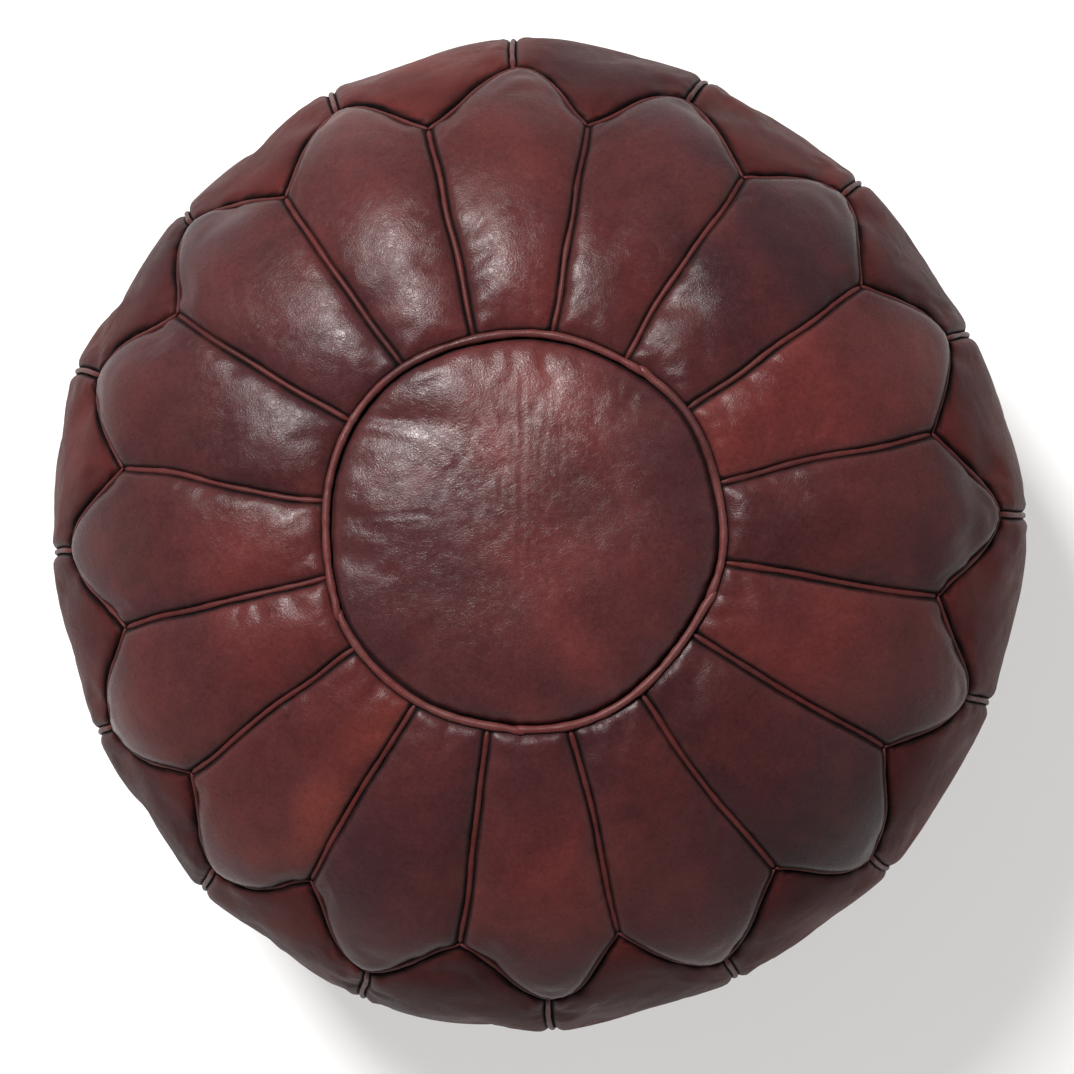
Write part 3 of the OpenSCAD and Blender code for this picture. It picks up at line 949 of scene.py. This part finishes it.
def noise(tree, where, scale, detail=3.0, rough=0.55, distort=0.0):
    return add(tree, "ShaderNodeTexNoise", {
        "Vector": where, "Scale": scale, "Detail": detail, "Roughness": rough, "Distortion": distort
    }).outputs[0]


def relief(tree, shader, height, strength, distance):
    bump = add(tree, "ShaderNodeBump", {
        "Strength": strength, "Distance": distance, "Height": height
    }).outputs[0]
    tree.links.new(bump, shader.inputs["Normal"])


def grey(tree, value):
    return add(tree, "ShaderNodeCombineColor", {0: value, 1: value, 2: value}).outputs[0]


# Warmer colour that shows through the dye in patches
WARM = (0.10, 0.021, 0.017, 1)


def leather(name, grain=1.0, rough=(0.25, 0.36), tint=(1, 1, 1, 1), mottle=1.0, sewn=True,
            gloss=0.19):
    """Dyed leather: mottle is the strength of its blotches, rough its polished and its dull
    roughness, and sewn dulls it beside the seams."""
    material, tree, shader, where = start_material(name)
    base = add(tree, "ShaderNodeAttribute", attribute_name="tint").outputs["Color"]
    base = blend_colour(tree, 1.0, base, tint, "MULTIPLY")
    blotch = noise(tree, where, 55, 5, 0.62, 0.4)
    speck = noise(tree, where, 420, 4, 0.7)
    fleck = noise(tree, where, 1300, 2, 0.6)
    large, small = 0.15 * mottle, 0.14 * mottle
    shade = math_node(tree, "MULTIPLY", remap(tree, blotch, 0.3, 0.72, 1 - large, 1 + large),
                      remap(tree, speck, 0.3, 0.7, 1 - small, 1 + small))
    shade = math_node(tree, "MULTIPLY", shade, remap(tree, fleck, 0.3, 0.7, 0.93, 1.07))
    base = blend_colour(tree, 1.0, base, grey(tree, shade), "MULTIPLY")
    warm = remap(tree, noise(tree, where, 30, 4, 0.6, 0.8), 0.52, 0.75, 0.0, 0.22 * mottle)
    base = blend_colour(tree, warm, base, WARM)
    # cells of the grain and the fine creases between them
    cells = add(tree, "ShaderNodeTexVoronoi", {"Vector": where, "Scale": 640.0, "Randomness": 1.0},
                feature="DISTANCE_TO_EDGE").outputs["Distance"]
    pores = remap(tree, cells, 0.0, 0.22, 0.0, 1.0)
    creases = noise(tree, where, 150, 5, 0.66, 1.6)
    ridge = math_node(tree, "ABSOLUTE", math_node(tree, "SUBTRACT", creases, 0.5))
    ridge = remap(tree, ridge, 0.0, 0.09, 0.0, 1.0)
    soft = noise(tree, where, 260, 3, 0.6)
    height = math_node(tree, "ADD", math_node(tree, "MULTIPLY", pores, 0.30 * grain),
                       math_node(tree, "MULTIPLY", ridge, 0.42 * grain))
    height = math_node(tree, "ADD", height, math_node(tree, "MULTIPLY", soft, grain))
    dark = grey(tree, remap(tree, ridge, 0.0, 0.6, 0.78, 1.0))
    base = blend_colour(tree, 0.6, base, dark, "MULTIPLY")
    polish = noise(tree, where, 38, 4, 0.6)
    roughness = math_node(tree, "ADD", remap(tree, polish, 0.3, 0.7, rough[0], rough[1]),
                          remap(tree, speck, 0.3, 0.7, -0.06, 0.06))
    if sewn:
        # the turned-in edges beside the seams are dull
        seam = add(tree, "ShaderNodeAttribute", attribute_name="seam").outputs["Fac"]
        roughness = math_node(tree, "MAXIMUM", roughness, remap(tree, seam, 2.6, 4.4, 0.9, 0.2))
    tree.links.new(base, shader.inputs["Base Color"])
    tree.links.new(roughness, shader.inputs["Roughness"])
    relief(tree, shader, height, 0.42, 0.22 * MM)
    shader.inputs["Specular IOR Level"].default_value = gloss
    return material


def metal(name):
    """Worn brass with darker patches and spots."""
    material, tree, shader, where = start_material(name)
    bright, dull, spot = (0.46, 0.33, 0.14, 1), (0.27, 0.18, 0.075, 1), (0.10, 0.065, 0.03, 1)
    tone = noise(tree, where, 260, 4, 0.6)
    spots = noise(tree, where, 900, 3, 0.6)
    base = blend_colour(tree, remap(tree, tone, 0.35, 0.7, 0, 1), bright, dull)
    base = blend_colour(tree, remap(tree, spots, 0.58, 0.72, 0, 0.7), base, spot)
    tree.links.new(base, shader.inputs["Base Color"])
    shader.inputs["Metallic"].default_value = 1.0
    tree.links.new(remap(tree, spots, 0.3, 0.75, 0.24, 0.5), shader.inputs["Roughness"])
    relief(tree, shader, spots, 0.4, 0.1 * MM)
    return material


def woven(name, dark, light, scale):
    """Cloth or thread, dark between its threads and light on them."""
    material, tree, shader, where = start_material(name)
    threads = [
        add(tree, "ShaderNodeTexWave", {"Vector": where, "Scale": scale, "Distortion": 0.6},
            bands_direction=way).outputs[1]
        for way in "XY"
    ]
    cross = math_node(tree, "MULTIPLY", *threads)
    fuzz = noise(tree, where, 900, 3, 0.7)
    lit = math_node(tree, "ADD", cross, math_node(tree, "MULTIPLY", fuzz, 0.4), True)
    base = blend_colour(tree, lit, dark, light)
    tree.links.new(base, shader.inputs["Base Color"])
    tree.links.new(remap(tree, fuzz, 0.3, 0.7, 0.75, 0.95), shader.inputs["Roughness"])
    shader.inputs["Sheen Weight"].default_value = 0.3
    relief(tree, shader, cross, 0.6, 0.2 * MM)
    return material


def plain_ground(name):
    material, tree, shader, where = start_material(name)
    cloud = noise(tree, where, 3, 3, 0.5)
    base = blend_colour(tree, cloud, (0.46, 0.46, 0.46, 1), (0.50, 0.50, 0.50, 1))
    tree.links.new(base, shader.inputs["Base Color"])
    shader.inputs["Roughness"].default_value = 0.9
    shader.inputs["Emission Color"].default_value = (1.0, 0.99, 0.98, 1)
    shader.inputs["Emission Strength"].default_value = 0.45
    return material


def dress(obj, material):
    """Gives the whole object one material."""
    if obj.data.materials:
        for k in range(len(obj.data.materials)):
            obj.data.materials[k] = material
    else:
        obj.data.materials.append(material)


# ------------------------------------------------------------------ build

cover = make_cover()
welts = make_welts()
base_pieces = make_base()
tapes = make_tapes()
core = make_stuffing()

# the medallion and its piping are the glossiest, and the sides the dullest
medallion_leather = leather("dyed_leather")
petal_leather = leather("petal_leather", 0.9, (0.26, 0.37), (0.99, 0.93, 0.93, 1), gloss=0.13)
piping_leather = leather("piping_leather", 0.8, (0.34, 0.52), mottle=0.7, sewn=False)
welt_leather = leather(
    "welt_leather", 0.8, (0.40, 0.56), (0.74, 0.62, 0.62, 1), mottle=0.7, sewn=False, gloss=0.12)
base_leather = leather("base_leather", 1.2, (0.50, 0.72))
# The sides' darker, redder tint is painted shade: it holds down the light that the floor and
# backdrop throw onto them
side_leather = leather("side_leather", 1.0, (0.44, 0.58), (0.82, 0.66, 0.62, 1), gloss=0.05)
by_kind = {"medallion": medallion_leather, "petal": petal_leather, "side": side_leather}
for piece in cover:
    dress(piece, by_kind[piece.name.split("_")[0]])
for piece in welts:
    dress(piece, piping_leather if piece.name == "medallion_piping_cord" else welt_leather)
for piece in base_pieces:
    dress(piece, base_leather)
tape_cloth = woven("tape_cloth", (0.020, 0.010, 0.009, 1), (0.075, 0.040, 0.034, 1), 260.0)
wadding = woven("wadding", (0.42, 0.36, 0.27, 1), (0.62, 0.56, 0.44, 1), 90.0)
thread = woven("waxed_thread", (0.10, 0.050, 0.035, 1), (0.24, 0.13, 0.09, 1), 900.0)
brass = metal("aged_brass")
for piece in tapes:
    dress(piece, tape_cloth)
for piece in core:
    dress(piece, wadding)
for name in ("teeth_front", "teeth_back", "top_stops", "bottom_stop", "slider", "pull"):
    dress(nodes[f"zip_{name}"], brass)
dress(nodes["zip_stitching"], thread)

# ------------------------------------------------------------------ floor, light and camera

def make_ground():
    """A pale floor that sweeps up into a round backdrop, just under the object."""
    flat_r, bend, top, sides = 5, 2, 6.0, 96
    turn = np.radians(np.linspace(0, 90, 13))
    r = np.concatenate([[0.5, 2.0, 3.5], flat_r + bend * np.sin(turn), [flat_r + bend]])
    z = np.concatenate([[0, 0, 0], bend - bend * np.cos(turn), [top]]) - 0.2 * MM
    theta = np.linspace(0, 2 * math.pi, sides, endpoint=False)
    verts = np.stack([
        r[:, None] * np.cos(theta), r[:, None] * np.sin(theta),
        np.broadcast_to(z[:, None], (len(r), sides))
    ], -1).reshape(-1, 3)
    index = np.arange(len(verts)).reshape(len(r), sides)
    nxt = np.roll(index, -1, 1)
    quads = np.stack([index[:-1], index[1:], nxt[1:], nxt[:-1]], -1).reshape(-1, 4)
    return link("ground", verts, list(quads) + [index[0]])


ground = make_ground()
dress(ground, plain_ground("ground"))

scene = bpy.context.scene
centre = Vector((0, 0, float(PZ[WIDEST])))


def area_light(name, azimuth, tilt, distance, size, power, colour):
    """A lamp that looks at the object, tilt degrees from straight above it."""
    data = bpy.data.lights.new(name, "AREA")
    data.shape = "RECTANGLE"
    data.size, data.size_y = size
    data.energy = power
    data.color = colour
    lamp = bpy.data.objects.new(name, data)
    scene.collection.objects.link(lamp)
    a, t = math.radians(azimuth), math.radians(tilt)
    way = Vector((math.cos(a) * math.sin(t), math.sin(a) * math.sin(t), math.cos(t)))
    lamp.location = centre + way * distance
    lamp.rotation_euler = way.to_track_quat("Z", "Y").to_euler()


area_light("window", 121, 34, 2.6, (0.45, 0.6), 120, (1.0, 0.98, 0.96))
area_light("room", -40, 60, 3.0, (2.0, 2.0), 5, (1.0, 0.95, 0.90))
world = bpy.data.worlds.new("room")
world.use_nodes = True
sky = world.node_tree.nodes["Background"]
sky.inputs["Color"].default_value = (1.0, 0.985, 0.97, 1)
sky.inputs["Strength"].default_value = 0.15
scene.world = world
scene.view_settings.view_transform = "Standard"

# The photograph looks straight down but for a slight lean, and is turned a little
PHOTO_PIXELS = 1074
CAMERA_DISTANCE = 1.352
LEAN_RIGHT, LEAN_DOWN, SPIN = (math.radians(a) for a in (2.75, 1.2, 2.15))
camera_data = bpy.data.cameras.new("camera")
camera_data.sensor_width = 36
camera_data.lens = 83.4
camera_data.shift_x = 0.3 / PHOTO_PIXELS
camera_data.shift_y = -1.2 / PHOTO_PIXELS
camera = bpy.data.objects.new("camera", camera_data)
scene.collection.objects.link(camera)
back = Vector((math.tan(LEAN_RIGHT), -math.tan(LEAN_DOWN), 1)).normalized()
up = Vector((math.sin(SPIN), math.cos(SPIN), 0))
right = up.cross(back).normalized()
up = back.cross(right)
turned = Matrix((right, up, back)).transposed().to_4x4()
camera.matrix_world = Matrix.Translation(centre + back * CAMERA_DISTANCE) @ turned
scene.camera = camera
